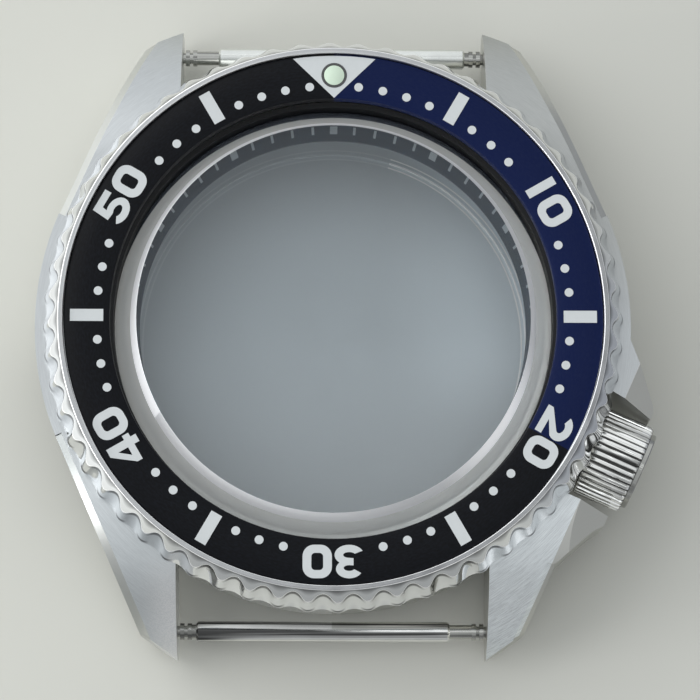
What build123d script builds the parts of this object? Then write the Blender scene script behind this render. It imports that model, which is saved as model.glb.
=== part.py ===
from build123d import *
import os
from math import asin, cos, degrees, hypot, pi, radians, sin, tan

# Empty steel case of a diver's watch: middle case with crown guards and lugs, screw-down
# crown, turning bezel with a click, bevelled crystal, chapter ring, case back and two
# spring bars. Sizes are in millimetres. The origin is the middle of the case back's outer
# face, +Z goes up through the crystal and +Y points to twelve o'clock.

os.makedirs("parts", exist_ok=True)

# Clearances and overruns
running_gap = 0.05
seat_gap = 0.03
cut_over = 1.0

# Crystal, whose diameter sets the bores and the bezel round it
crystal_dia = 31.14
crystal_edge_height = 0.35
crystal_bevel_width = 1.18
crystal_bevel_height = 1.65
crystal_band_width = 0.49
crystal_band_height = 1.35
crystal_gasket_room = 0.43
crystal_gasket_height = 1.9

# Bores of the middle case: steps in radius and height from the crystal's seat to the back
crystal_seat_depth = 0.5
ledge_width = 1.35
ledge_thickness = 0.4
chapter_catch = 0.35
chapter_height = 2.1
movement_step = 0.2
thread_step = 1.25
thread_height = 1.4

# Chapter ring
chapter_width = 1.15
chapter_top_width = 0.5
chapter_lip = 0.25

# Neck that carries the bezel
neck_wall = 1.4
neck_height = 1.7
neck_rim_width = 0.35
neck_rim_height = 0.35
neck_rim_lead = 0.12
bezel_gasket_height = 0.5

# Bezel insert with its luminous pip
insert_clearance = 0.18
insert_width = 3.25
insert_thickness = 0.85
pip_beyond_middle = 0.075
pip_dia = 1.5
pip_wall = 0.13
pip_floor = 0.2
pip_rise = 0.05
pip_dome = 0.12

# Turning bezel
bezel_under_gap = 0.2
bezel_height = 3.4
bezel_skirt_height = 0.2
bezel_draft = 12.1
bezel_scallops = 60
scallop_turn = 1.0
scallop_depth = 0.55
scallop_valley_share = 0.64
scallop_flat_share = 0.33
bezel_rim_width = 0.4
bezel_shoulder_width = 0.15
bezel_grip_width = 1.1
bezel_shoulder_drop = 0.45
bezel_edge_drop = 1.05
bezel_floor_drop = 1.15
bezel_floor_thickness = 0.52
bezel_floor_width = 2.8
bezel_lip_height = 0.4

# Clicks under the bezel and the sprung pin that rides in them
clicks = 120
click_ring_width = 1.2
click_length = 1.2
click_depth = 0.42
click_pin_dia = 0.8
click_pin_length = 1.5
click_pin_tip_dia = 0.14
click_pin_spare = 0.18
click_pin_azimuth = 42.0
click_hole_depth = 2.7

# Middle case, seen from above
body_ledge = 0.6
waist_step = 1.35
lug_reach = 2.05
strap_gap = 22.2
flank_angle = 23.6
lug_corner_back = 1.8

# Middle case, seen from the side; places along the lugs count back from their tips
case_bottom_z = 1.9
deck_z = 9.6
lug_crest_back = 11.3
lug_tip_top_z = 3.0
lug_tip_bottom_z = 1.3
lug_bottom_z = 0.8
lug_toe_back = 0.5
lug_heel_back = 4.3
lug_root_back = 8.1
flank_bevel = 0.5
belly_bevel = 0.7
rim_cutter_spare = 10.9

# Crown with its tube, core, post, spring and gasket
crown_azimuth = 114.1
crown_z = 5.3
crown_dia = 6.6
crown_length = 3.65
crown_gap = 0.25
crown_flutes = 40
crown_flute_depth = 0.17
crown_flute_share = 0.3
crown_edge = 0.22
crown_button_step = 0.45
crown_button_height = 0.35
crown_bore_depth = 2.6
crown_mouth_dia = 4.4
crown_mouth_depth = 0.5
crown_gasket_thickness = 0.28
tube_dia = 2.5
tube_bore = 1.7
tube_back = 0.4
tube_reach = 2.2
core_dia = 1.56
core_bore = 1.0
core_length = 5.2
core_end_wall = 0.35
post_dia = 0.88
post_stand_out = 0.1
post_square = 0.5
post_square_length = 1.1
crown_spring_room = 1.5

# Pocket and guards beside the crown; lengths count out from the pocket's floor
pocket_depth = 1.15
upper_pocket_gap = 0.5
upper_tip_gap = 0.12
lower_pocket_gap = 0.95
guard_root_depth = 1.6
guard_reach = 3.3
guard_bottom_rise = 0.8
guard_slope_inset = 0.15
guard_tip_drop = 2.1
guard_round = 0.25
guard_shoulder_round = 0.6
upper_tip_width = 0.55
upper_shoulder_reach = 3.1
upper_shoulder_width = 0.9
upper_foot_reach = -0.5
upper_foot_width = 4.5
lower_tip_width = 0.75
lower_shoulder_reach = 2.7
lower_shoulder_width = 1.55
lower_foot_reach = 1.15
lower_foot_width = 4.95

# Screw-in case back
back_gasket_margin = 0.1
back_gasket_width = 0.6
back_gasket_depth = 0.5
back_flange_lip = 0.75
back_boss_height = 1.3
back_boss_wall = 0.9
back_plate_thickness = 1.2
back_step_width = 1.3
back_step_depth = 0.25
back_edge = 0.4
back_notches = 6
back_notch_width = 2.6
back_notch_depth = 0.9
back_notch_height = 0.8

# Spring bars
bar_back = 2.0
bar_rise = 2.4
barrel_dia = 1.46
barrel_bore = 1.12
barrel_edge = 0.14
near_tube_show = 0.32
far_tube_show = 1.6
tip_tube_dia = 1.02
tip_tube_length = 3.46
tip_collar_dia = 1.2
tip_collar_width = 0.3
tip_groove_dia = 0.84
tip_groove_width = 0.24
tip_shoulder_gap = 0.2
pivot_dia = 0.8
pivot_depth = 0.7
pivot_hole_spare = 0.12

# Coil springs: steps in a turn and sides of the wire, then wire, diameter and turns of each
coil_steps = 6
coil_sides = 4
bar_spring_wire = 0.18
bar_spring_dia = 0.96
bar_spring_turns = 12
click_spring_wire = 0.11
click_spring_dia = 0.72
click_spring_turns = 4
crown_spring_wire = 0.13
crown_spring_dia = 0.86
crown_spring_turns = 4

# Diameters and heights that follow, from the crystal outwards and downwards
crystal_bore_dia = crystal_dia + 2 * crystal_gasket_room
ledge_dia = crystal_bore_dia - 2 * ledge_width
chapter_seat_dia = ledge_dia + 2 * chapter_catch
movement_bore_dia = chapter_seat_dia + 2 * movement_step
back_thread_dia = movement_bore_dia + 2 * thread_step
ledge_top_z = deck_z - crystal_seat_depth
ledge_bottom_z = ledge_top_z - ledge_thickness
chapter_seat_z = ledge_bottom_z - chapter_height
back_thread_top_z = case_bottom_z + thread_height
neck_dia = crystal_bore_dia + 2 * neck_wall
neck_rim_dia = neck_dia + 2 * neck_rim_width
neck_top_z = deck_z + neck_height
insert_opening_dia = crystal_dia + 2 * insert_clearance
insert_dia = insert_opening_dia + 2 * insert_width
bezel_rim_dia = insert_dia + 2 * bezel_rim_width
bezel_shoulder_dia = bezel_rim_dia + 2 * bezel_shoulder_width
bezel_dia = bezel_shoulder_dia + 2 * bezel_grip_width
bezel_opening_dia = insert_dia - 2 * bezel_floor_width
bezel_bottom_z = deck_z + bezel_under_gap
bezel_rim_z = bezel_bottom_z + bezel_height
bezel_floor_z = bezel_rim_z - bezel_floor_drop
insert_top_z = bezel_floor_z + insert_thickness

# Places that several pieces share
body_radius = bezel_dia / 2 + body_ledge
lug_tip_y = body_radius + lug_reach
lug_corner_y = lug_tip_y - lug_corner_back
lug_crest_y = lug_tip_y - lug_crest_back
gap_half = strap_gap / 2
flank_at = Vector(cos(radians(flank_angle)), sin(radians(flank_angle))) * body_radius
corner_x = flank_at.X - (lug_corner_y - flank_at.Y) * tan(radians(flank_angle))
bar_y = lug_tip_y - bar_back
bar_z = lug_bottom_z + bar_rise
crown_dir = Vector(sin(radians(crown_azimuth)), cos(radians(crown_azimuth)), 0)
crown_plan = Plane((0, 0, 0), x_dir=crown_dir, z_dir=(0, 0, 1))
crown_axis = Plane((0, 0, crown_z), x_dir=(0, 0, 1), z_dir=crown_dir)
pocket_floor_at = body_radius - pocket_depth
tube_inner_at = movement_bore_dia / 2 + tube_back
tube_hole = tube_dia + 2 * seat_gap
click_ring_dia = neck_dia + 2 * click_ring_width
click_at = Vector(sin(radians(click_pin_azimuth)), cos(radians(click_pin_azimuth)), 0)
click_axis = Plane(click_at * click_ring_dia / 2, x_dir=click_at, z_dir=(0, 0, 1))
click_hole = click_pin_dia + 2 * running_gap


def turn(points, mode=Mode.ADD):
    """Turns an outline of (radius, height) points round the case's axis."""
    with BuildSketch(Plane.XZ) as section:
        with BuildLine():
            Polyline(*points, close=True)
        make_face()
    revolve(section.sketch, axis=Axis.Z, mode=mode)


def washer(inner_dia, outer_dia, bottom, top, mode=Mode.ADD):
    """Turns a ring of plain rectangular section."""
    inner, outer = inner_dia / 2, outer_dia / 2
    turn([(inner, bottom), (outer, bottom), (outer, top), (inner, top)], mode)


def lathe(plane, points, mode=Mode.ADD):
    """Turns an outline of (along, radius) points round a plane's normal."""
    side = Plane(plane.origin, x_dir=plane.z_dir, z_dir=plane.x_dir)
    with BuildSketch(side) as section:
        with BuildLine():
            Polyline(*points, close=True)
        make_face()
    revolve(section.sketch, axis=Axis(plane.origin, plane.z_dir), mode=mode)


def rod(plane, dia, start, end, bore=0):
    """Turns a plain rod or tube between two places along a plane's normal."""
    lathe(plane, [(start, bore / 2), (end, bore / 2), (end, dia / 2), (start, dia / 2)])


def coil(plane, wire, outer_dia, start, end, turns):
    """Winds one unbroken wire round a plane's normal, between two places along it."""
    radius = (outer_dia - wire) / 2
    rise = end - start - wire
    steps = turns * coil_steps
    points = []
    for k in range(steps + 1):
        angle = 2 * pi * k / coil_steps
        along = start + wire / 2 + rise * k / steps
        points.append(plane.from_local_coords((radius * cos(angle), radius * sin(angle), along)))
    with BuildLine() as centre:
        Polyline(*points)
    path = centre.wires()[0]
    with BuildSketch(Plane(path @ 0, z_dir=path % 0)) as section:
        RegularPolygon(wire / 2, coil_sides)
    sweep(section.sketch, path=path, transition=Transition.RIGHT)
    print("coil pitch", round(rise / turns, 3), "gap to itself", round(rise / turns - wire, 3))


def finish(builder, name):
    """Labels a finished piece and writes its file."""
    builder.part.label = name
    export_step(builder.part, f"parts/{name}.step")


def on_flank(edge, low, high):
    """Tells whether an edge runs along the outer wall, between two heights."""
    ends = edge @ 0, edge @ 1
    mid = edge @ 0.5
    if not low < mid.Z < high or hypot(ends[0].X - ends[1].X, ends[0].Y - ends[1].Y) < cut_over:
        return False
    x, y = abs(mid.X), abs(mid.Y)
    if y < flank_at.Y:
        return abs(hypot(x, y) - body_radius) < running_gap
    return abs((x - flank_at.X) + (y - flank_at.Y) * tan(radians(flank_angle))) < running_gap


# Crown guards: two horns beside the crown, with tops that slope outwards
upper_side = crown_dia / 2 + upper_pocket_gap
upper_tip_side = crown_dia / 2 + upper_tip_gap
lower_side = crown_dia / 2 + lower_pocket_gap
guard_root_at = pocket_floor_at - guard_root_depth
guard_tip_at = pocket_floor_at + guard_reach
guard_bottom_z = case_bottom_z + guard_bottom_rise
guard_slope_at = body_radius - guard_slope_inset
with BuildPart() as crown_guards:
    with BuildSketch(crown_plan.offset(guard_bottom_z)) as guard_plan:
        with BuildLine():
            Polyline(
                (guard_root_at, upper_side),
                (pocket_floor_at, upper_side),
                (guard_tip_at, upper_tip_side),
                (guard_tip_at, upper_tip_side + upper_tip_width),
                (pocket_floor_at + upper_shoulder_reach, upper_tip_side + upper_shoulder_width),
                (pocket_floor_at + upper_foot_reach, upper_tip_side + upper_foot_width),
                (guard_root_at, upper_tip_side + upper_foot_width),
                close=True,
            )
        make_face()
        with BuildLine():
            Polyline(
                (guard_root_at, -lower_side),
                (guard_tip_at, -lower_side),
                (guard_tip_at, -lower_side - lower_tip_width),
                (pocket_floor_at + lower_shoulder_reach, -lower_side - lower_shoulder_width),
                (pocket_floor_at + lower_foot_reach, -lower_side - lower_foot_width),
                (guard_root_at, -lower_side - lower_foot_width),
                close=True,
            )
        make_face()
        outwards = Axis(crown_plan.origin, crown_dir)
        lower_shoulder, upper_shoulder, _ = guard_plan.vertices().group_by(outwards)[-3:]
        fillet(lower_shoulder + upper_shoulder, radius=guard_shoulder_round)
        fillet(guard_plan.vertices().group_by(outwards)[-1], radius=guard_round)
    extrude(amount=deck_z - guard_bottom_z)
    with BuildSketch(Plane((0, 0, 0), x_dir=crown_dir, z_dir=crown_plan.y_dir)):
        with BuildLine():
            Polyline(
                (guard_slope_at, -deck_z),
                (guard_tip_at, guard_tip_drop - deck_z),
                (guard_tip_at + cut_over, guard_tip_drop - deck_z),
                (guard_tip_at + cut_over, -deck_z),
                close=True,
            )
        make_face()
    extrude(amount=body_radius, both=True, mode=Mode.SUBTRACT)

# Cutter for the bevel along the rim: lofted beside each lug and turned between the lugs
crest_drop = deck_z - lug_tip_top_z
crest_radius = (lug_crest_back ** 2 + crest_drop ** 2) / (2 * crest_drop)
rim_cutter_turn = degrees(asin((lug_corner_y - lug_crest_y) / crest_radius)) + rim_cutter_spare
flank_along = Vector(-sin(radians(flank_angle)), cos(radians(flank_angle)))
flank_out = Vector(cos(radians(flank_angle)), sin(radians(flank_angle)))


def beside_flank(radius, angle):
    """Gives a place on a circle about the crest's middle, seen square to the flank."""
    y = lug_crest_y + radius * sin(radians(angle))
    z = deck_z - crest_radius + radius * cos(radians(angle))
    return (y - flank_at.Y) / flank_along.Y, z


with BuildPart() as rim_cutter:
    for depth in (-running_gap, flank_bevel + running_gap):
        with BuildSketch(Plane(flank_at - flank_out * depth, x_dir=flank_along, z_dir=flank_out)):
            with BuildLine():
                radius = crest_radius - flank_bevel + depth
                start = beside_flank(radius, 0)
                middle = beside_flank(radius, rim_cutter_turn / 2)
                end = beside_flank(radius, rim_cutter_turn)
                ThreePointArc(start, middle, end)
                Polyline(
                    end,
                    (end[0] + cut_over, deck_z + cut_over),
                    (-flank_bevel, deck_z + cut_over),
                    (-flank_bevel, start[1]),
                    start,
                )
            make_face()
    loft(ruled=True)
    with BuildSketch(Location((0, 0, 0), (0, 0, -flank_angle)) * Plane.XZ):
        with BuildLine():
            Polyline(
                (body_radius + running_gap, deck_z - flank_bevel - running_gap),
                (body_radius + running_gap, deck_z + running_gap),
                (body_radius - flank_bevel - running_gap, deck_z + running_gap),
                close=True,
            )
        make_face()
    revolve(axis=Axis.Z, revolution_arc=2 * flank_angle)
    mirror(about=Plane.YZ)
    mirror(about=Plane.XZ)
    add(crown_guards.part, mode=Mode.SUBTRACT)

# Middle case
with BuildPart() as case_middle:
    with BuildSketch(Plane.XY.offset(lug_bottom_z)):
        Circle(body_radius)
        with BuildLine():
            Polyline(
                (gap_half, 0),
                (flank_at.X, flank_at.Y),
                (corner_x, lug_corner_y),
                (gap_half, lug_tip_y),
                close=True,
            )
        make_face()
        mirror(about=Plane.YZ)
        mirror(about=Plane.XZ)
    extrude(amount=deck_z - lug_bottom_z)
    with BuildSketch(Plane.XY.offset(lug_bottom_z)):
        Rectangle(strap_gap, 2 * lug_tip_y + cut_over)
    extrude(amount=case_bottom_z - lug_bottom_z, mode=Mode.SUBTRACT)
    with BuildSketch(Plane.XY.offset(case_bottom_z)):
        Rectangle(strap_gap, 2 * lug_tip_y + cut_over)
        Circle(body_radius - waist_step, mode=Mode.SUBTRACT)
    extrude(amount=deck_z - case_bottom_z, mode=Mode.SUBTRACT)
    add(crown_guards.part)
    with BuildSketch(crown_plan):
        with BuildLine():
            Polyline(
                (pocket_floor_at, upper_side),
                (guard_tip_at, upper_tip_side),
                (guard_tip_at + cut_over, upper_tip_side),
                (guard_tip_at + cut_over, -lower_side),
                (pocket_floor_at, -lower_side),
                close=True,
            )
        make_face()
    extrude(amount=deck_z + cut_over, mode=Mode.SUBTRACT)
    with BuildSketch(Plane.YZ):
        with BuildLine():
            top = Line((0, deck_z), (lug_crest_y, deck_z))
            crest = TangentArc(top @ 1, (lug_tip_y, lug_tip_top_z), tangent=top % 1)
            Polyline(
                crest @ 1,
                (lug_tip_y, lug_tip_bottom_z),
                (lug_tip_y - lug_toe_back, lug_bottom_z),
                (lug_tip_y - lug_heel_back, lug_bottom_z),
                (lug_tip_y - lug_root_back, case_bottom_z),
                (0, case_bottom_z),
                (0, deck_z),
            )
        make_face()
        mirror(about=Plane.YZ)
    extrude(amount=lug_tip_y, both=True, mode=Mode.INTERSECT)
    belly_edges = [e for e in case_middle.edges() if on_flank(e, 0, case_bottom_z + running_gap)]
    chamfer(belly_edges, length=belly_bevel)
    add(rim_cutter.part, mode=Mode.SUBTRACT)
    turn(
        [
            (0, deck_z - cut_over),
            (neck_dia / 2, deck_z - cut_over),
            (neck_dia / 2, neck_top_z - neck_rim_height),
            (neck_rim_dia / 2, neck_top_z - neck_rim_height),
            (neck_rim_dia / 2, neck_top_z - neck_rim_lead),
            (neck_rim_dia / 2 - neck_rim_lead, neck_top_z),
            (0, neck_top_z),
        ]
    )
    turn(
        [
            (0, 0),
            (back_thread_dia / 2, 0),
            (back_thread_dia / 2, back_thread_top_z),
            (movement_bore_dia / 2, back_thread_top_z),
            (movement_bore_dia / 2, chapter_seat_z),
            (chapter_seat_dia / 2, chapter_seat_z),
            (chapter_seat_dia / 2, ledge_bottom_z),
            (ledge_dia / 2, ledge_bottom_z),
            (ledge_dia / 2, ledge_top_z),
            (crystal_bore_dia / 2, ledge_top_z),
            (crystal_bore_dia / 2, neck_top_z + cut_over),
            (0, neck_top_z + cut_over),
        ],
        Mode.SUBTRACT,
    )
    groove_bottom_z = case_bottom_z + back_gasket_depth + seat_gap
    back_gasket_bore = back_thread_dia + 2 * back_gasket_margin
    back_gasket_dia = back_gasket_bore + 2 * back_gasket_width
    washer(
        back_gasket_bore - 2 * seat_gap,
        back_gasket_dia + 2 * seat_gap,
        case_bottom_z - cut_over,
        groove_bottom_z,
        Mode.SUBTRACT,
    )
    with BuildSketch(crown_axis.offset(tube_inner_at - cut_over)):
        Circle(tube_hole / 2)
    extrude(amount=pocket_floor_at + 2 * cut_over - tube_inner_at, mode=Mode.SUBTRACT)
    with BuildSketch(click_axis.offset(deck_z - click_hole_depth)):
        Circle(click_hole / 2)
    extrude(amount=click_hole_depth + cut_over, mode=Mode.SUBTRACT)
    for side in (-1, 1):
        with BuildSketch(Plane.YZ.offset(side * gap_half)):
            with Locations((bar_y, bar_z), (-bar_y, bar_z)):
                Circle(pivot_dia / 2 + running_gap)
        extrude(amount=side * (pivot_depth + pivot_hole_spare), mode=Mode.SUBTRACT)
finish(case_middle, "case_middle")

# Crystal: a thick disc with a flat top, a steep polished band and a wide ground bevel
with BuildPart() as crystal:
    crystal_bottom_z = ledge_top_z + running_gap
    crystal_edge_z = crystal_bottom_z + crystal_edge_height
    crystal_band_z = crystal_edge_z + crystal_bevel_height
    crystal_top_z = crystal_band_z + crystal_band_height
    crystal_band_radius = crystal_dia / 2 - crystal_bevel_width
    turn(
        [
            (0, crystal_bottom_z),
            (crystal_dia / 2, crystal_bottom_z),
            (crystal_dia / 2, crystal_edge_z),
            (crystal_band_radius, crystal_band_z),
            (crystal_band_radius - crystal_band_width, crystal_top_z),
            (0, crystal_top_z),
        ]
    )
finish(crystal, "crystal")

# Gasket between the crystal and the neck
with BuildPart() as crystal_gasket:
    washer(
        crystal_dia + 2 * seat_gap,
        crystal_bore_dia - 2 * seat_gap,
        ledge_top_z,
        ledge_top_z + crystal_gasket_height,
    )
finish(crystal_gasket, "crystal_gasket")

# Chapter ring under the crystal, sloping down to where the dial would lie
with BuildPart() as chapter_ring:
    chapter_outer = chapter_seat_dia / 2 - seat_gap
    chapter_inner = chapter_seat_dia / 2 - chapter_width
    turn(
        [
            (chapter_inner, chapter_seat_z),
            (chapter_outer, chapter_seat_z),
            (chapter_outer, ledge_bottom_z),
            (chapter_seat_dia / 2 - chapter_top_width, ledge_bottom_z),
            (chapter_inner, chapter_seat_z + chapter_lip),
        ]
    )
finish(chapter_ring, "chapter_ring")

# Bezel ring: the scalloped grip is lofted between two like outlines, then turned to shape
grip_slope = tan(radians(bezel_draft))
bezel_skirt_z = bezel_bottom_z + bezel_skirt_height
bezel_edge_z = bezel_rim_z - bezel_edge_drop


def scalloped_outline(height):
    """Lists the grip's corners at a height: a hollow with a flat floor, then a blunt tip."""
    tip = bezel_dia / 2
    valley = tip - scallop_depth
    turning = valley + scallop_depth * scallop_valley_share
    scale_here = 1 - (height - bezel_skirt_z) * grip_slope / tip
    pitch = 2 * pi / bezel_scallops
    half_valley = pitch * scallop_valley_share / 2
    half_tip = pitch / 2 - half_valley
    floor = half_valley * scallop_flat_share
    blunt = half_tip * scallop_flat_share
    wave = (
        (turning, -half_valley),
        (valley, -floor),
        (valley, floor),
        (turning, half_valley),
        (tip, pitch / 2 - blunt),
        (tip, pitch / 2 + blunt),
    )
    points = []
    for k in range(bezel_scallops):
        for radius, offset in wave:
            angle = radians(90 - scallop_turn) - (k + 1 / 2) * pitch - offset
            points.append(Vector(cos(angle), sin(angle)) * radius * scale_here)
    return points


notch_side = click_depth * hypot(1, 1)
with BuildPart() as click_notch:
    with BuildSketch(Plane.YZ.offset((click_ring_dia - click_length) / 2)):
        with Locations((0, bezel_bottom_z)):
            Rectangle(notch_side, notch_side, rotation=45)
    extrude(amount=click_length)

with BuildPart() as bezel_ring:
    for height in (bezel_bottom_z, bezel_rim_z):
        with BuildSketch(Plane.XY.offset(height)):
            with BuildLine():
                Polyline(*scalloped_outline(height), close=True)
            make_face()
    loft(ruled=True)
    lip_dia = neck_dia + 2 * running_gap
    bore_dia = neck_rim_dia + 2 * running_gap
    seat_dia = insert_dia + 2 * running_gap
    turn(
        [
            (lip_dia / 2, bezel_bottom_z),
            (bezel_dia / 2 - bezel_lip_height / 2, bezel_bottom_z),
            (bezel_dia / 2, bezel_skirt_z),
            (bezel_dia / 2, bezel_edge_z - scallop_depth),
            (bezel_shoulder_dia / 2 + scallop_depth, bezel_edge_z),
            (bezel_shoulder_dia / 2, bezel_rim_z - bezel_shoulder_drop),
            (bezel_rim_dia / 2, bezel_rim_z),
            (seat_dia / 2, bezel_rim_z),
            (seat_dia / 2, bezel_floor_z),
            (bezel_opening_dia / 2, bezel_floor_z),
            (bezel_opening_dia / 2, bezel_floor_z - bezel_floor_thickness),
            (bore_dia / 2, bezel_floor_z - bezel_floor_thickness),
            (bore_dia / 2, bezel_bottom_z + bezel_lip_height),
            (lip_dia / 2, bezel_bottom_z + bezel_lip_height),
        ],
        Mode.INTERSECT,
    )
    with PolarLocations(0, clicks, start_angle=90 - click_pin_azimuth, angular_range=360):
        add(click_notch.part, mode=Mode.SUBTRACT)
finish(bezel_ring, "bezel_ring")

# Gasket in the neck, which gives the bezel its drag
with BuildPart() as bezel_gasket:
    gasket_top_z = neck_top_z - neck_rim_height - seat_gap
    washer(
        neck_dia + seat_gap,
        neck_rim_dia,
        gasket_top_z - bezel_gasket_height,
        gasket_top_z,
    )
finish(bezel_gasket, "bezel_gasket")

# Insert, bonded to the bezel's floor, with a hole for the pip
cup_dia = pip_dia + 2 * pip_wall
pip_at = (insert_dia + insert_opening_dia) / 4 + pip_beyond_middle
with BuildPart() as bezel_insert:
    turn(
        [
            (insert_opening_dia / 2, bezel_floor_z),
            (insert_dia / 2, bezel_floor_z),
            (insert_dia / 2, insert_top_z),
            (insert_opening_dia / 2, insert_top_z),
        ]
    )
    with BuildSketch(Plane.XY.offset(bezel_floor_z)):
        with Locations((0, pip_at)):
            Circle(cup_dia / 2 + seat_gap)
    extrude(amount=insert_thickness, mode=Mode.SUBTRACT)
finish(bezel_insert, "bezel_insert")

# Luminous pip in its cup
pip_axis = Plane((0, pip_at, bezel_floor_z), x_dir=(1, 0, 0), z_dir=(0, 0, 1))
cup_height = insert_thickness + pip_rise
with BuildPart() as pip_cup:
    lathe(
        pip_axis,
        [
            (0, 0),
            (0, cup_dia / 2),
            (cup_height, cup_dia / 2),
            (cup_height, pip_dia / 2),
            (pip_floor, pip_dia / 2),
            (pip_floor, 0),
        ],
    )
finish(pip_cup, "pip_cup")

with BuildPart() as lume_pip:
    with BuildSketch(Plane(pip_axis.origin, x_dir=pip_axis.z_dir, z_dir=pip_axis.x_dir)):
        with BuildLine():
            base = pip_floor + seat_gap
            rim = pip_dia / 2 - seat_gap
            Polyline((cup_height, rim), (base, rim), (base, 0), (cup_height + pip_dome, 0))
            crown_point = (cup_height + pip_dome * 3 / 4, rim / 2)
            ThreePointArc((cup_height + pip_dome, 0), crown_point, (cup_height, rim))
        make_face()
    revolve(axis=Axis(pip_axis.origin, pip_axis.z_dir))
finish(lume_pip, "lume_pip")

# Click pin and its spring, in a blind hole of the deck
pin_tip_z = bezel_bottom_z + click_depth - click_pin_spare
pin_foot_z = pin_tip_z - click_pin_length
with BuildPart() as click_pin:
    lathe(
        click_axis,
        [
            (pin_foot_z, 0),
            (pin_foot_z, click_pin_dia / 2),
            (pin_tip_z - click_pin_dia / 2, click_pin_dia / 2),
            (pin_tip_z - click_pin_tip_dia / 2, click_pin_tip_dia / 2),
            (pin_tip_z, 0),
        ],
    )
finish(click_pin, "click_pin")

with BuildPart() as click_spring:
    hole_floor_z = deck_z - click_hole_depth
    coil(
        click_axis,
        click_spring_wire,
        click_spring_dia,
        hole_floor_z + seat_gap,
        pin_foot_z - seat_gap,
        click_spring_turns,
    )
finish(click_spring, "click_spring")

# Case back: flange with wrench notches, threaded boss and a stepped hollow inside
boss_dia = back_thread_dia - 2 * running_gap
boss_bore = boss_dia - 2 * back_boss_wall
back_flange_dia = back_gasket_dia + 2 * back_flange_lip
flange_top_z = case_bottom_z - seat_gap
with BuildPart() as case_back:
    turn(
        [
            (0, 0),
            (back_flange_dia / 2 - back_edge, 0),
            (back_flange_dia / 2, back_edge),
            (back_flange_dia / 2, flange_top_z),
            (boss_dia / 2, flange_top_z),
            (boss_dia / 2, flange_top_z + back_boss_height),
            (boss_bore / 2, flange_top_z + back_boss_height),
            (boss_bore / 2, back_plate_thickness),
            (boss_bore / 2 - back_step_width, back_plate_thickness),
            (boss_bore / 2 - back_step_width, back_plate_thickness - back_step_depth),
            (0, back_plate_thickness - back_step_depth),
        ]
    )
    with BuildSketch(Plane.XY):
        with PolarLocations(back_flange_dia / 2, back_notches):
            Rectangle(2 * back_notch_depth, back_notch_width)
    extrude(amount=back_notch_height, mode=Mode.SUBTRACT)
finish(case_back, "case_back")

with BuildPart() as case_back_gasket:
    washer(
        back_gasket_bore,
        back_gasket_dia,
        case_bottom_z,
        case_bottom_z + back_gasket_depth,
    )
finish(case_back_gasket, "case_back_gasket")

# Places along the crown's axis
crown_inner_at = pocket_floor_at + crown_gap
crown_end_at = crown_inner_at + crown_length
crown_bore_end_at = crown_inner_at + crown_bore_depth
tube_end_at = crown_inner_at + tube_reach
core_bore_end_at = crown_bore_end_at - core_end_wall
core_inner_at = core_bore_end_at - core_length
post_inner_at = tube_inner_at - post_stand_out
post_end_at = core_bore_end_at - crown_spring_room

# Crown tube, pressed into the middle case
with BuildPart() as crown_tube:
    rod(crown_axis, tube_dia, tube_inner_at, tube_end_at, tube_bore)
finish(crown_tube, "crown_tube")

# Crown: fluted cap that screws down over the tube
crown_bore = tube_dia + 2 * running_gap
with BuildPart() as crown:
    lathe(
        crown_axis,
        [
            (crown_inner_at, crown_mouth_dia / 2),
            (crown_inner_at, crown_dia / 2 - crown_edge),
            (crown_inner_at + crown_edge, crown_dia / 2),
            (crown_end_at - crown_edge, crown_dia / 2),
            (crown_end_at, crown_dia / 2 - crown_edge),
            (crown_end_at, crown_dia / 2 - crown_button_step),
            (crown_end_at + crown_button_height, crown_dia / 2 - crown_button_step),
            (crown_end_at + crown_button_height, 0),
            (crown_bore_end_at, 0),
            (crown_bore_end_at, crown_bore / 2),
            (crown_inner_at + crown_mouth_depth, crown_bore / 2),
            (crown_inner_at + crown_mouth_depth, crown_mouth_dia / 2),
        ],
    )
    flute_width = pi * crown_dia / crown_flutes * crown_flute_share
    with BuildSketch(crown_axis.offset(crown_inner_at - cut_over)):
        with PolarLocations(crown_dia / 2, crown_flutes):
            Polygon(
                (-crown_flute_depth, 0),
                (crown_flute_depth, -2 * flute_width),
                (crown_flute_depth, 2 * flute_width),
                align=None,
            )
    extrude(amount=crown_end_at - crown_inner_at + cut_over, mode=Mode.SUBTRACT)
finish(crown, "crown")

# Core fixed in the crown, which runs inside the tube
with BuildPart() as crown_core:
    lathe(
        crown_axis,
        [
            (core_inner_at, core_bore / 2),
            (core_bore_end_at, core_bore / 2),
            (core_bore_end_at, 0),
            (crown_bore_end_at, 0),
            (crown_bore_end_at, core_dia / 2),
            (core_inner_at, core_dia / 2),
        ],
    )
finish(crown_core, "crown_core")

# Gasket squeezed between the tube's end and the crown
with BuildPart() as crown_gasket:
    gasket_bore = core_dia + 2 * seat_gap
    gasket_dia = crown_bore - 2 * seat_gap
    gasket_start_at = crown_bore_end_at - crown_gasket_thickness
    rod(crown_axis, gasket_dia, gasket_start_at, crown_bore_end_at, gasket_bore)
finish(crown_gasket, "crown_gasket")

# Post that telescopes in the core and would hold the winding stem
with BuildPart() as crown_post:
    rod(crown_axis, post_dia, post_inner_at + post_square_length, post_end_at)
    with BuildSketch(crown_axis.offset(post_inner_at)):
        Rectangle(post_square, post_square)
    extrude(amount=post_square_length)
finish(crown_post, "crown_post")

with BuildPart() as crown_spring:
    coil(
        crown_axis,
        crown_spring_wire,
        crown_spring_dia,
        post_end_at + seat_gap,
        core_bore_end_at - seat_gap,
        crown_spring_turns,
    )
finish(crown_spring, "crown_spring")

# Places along a spring bar, from its middle
shoulder_at = gap_half - tip_shoulder_gap
groove_end = shoulder_at - tip_collar_width
groove_start = groove_end - tip_groove_width
tube_start = groove_start - tip_collar_width
tip_tube_inner_at = tube_start - tip_tube_length


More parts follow.
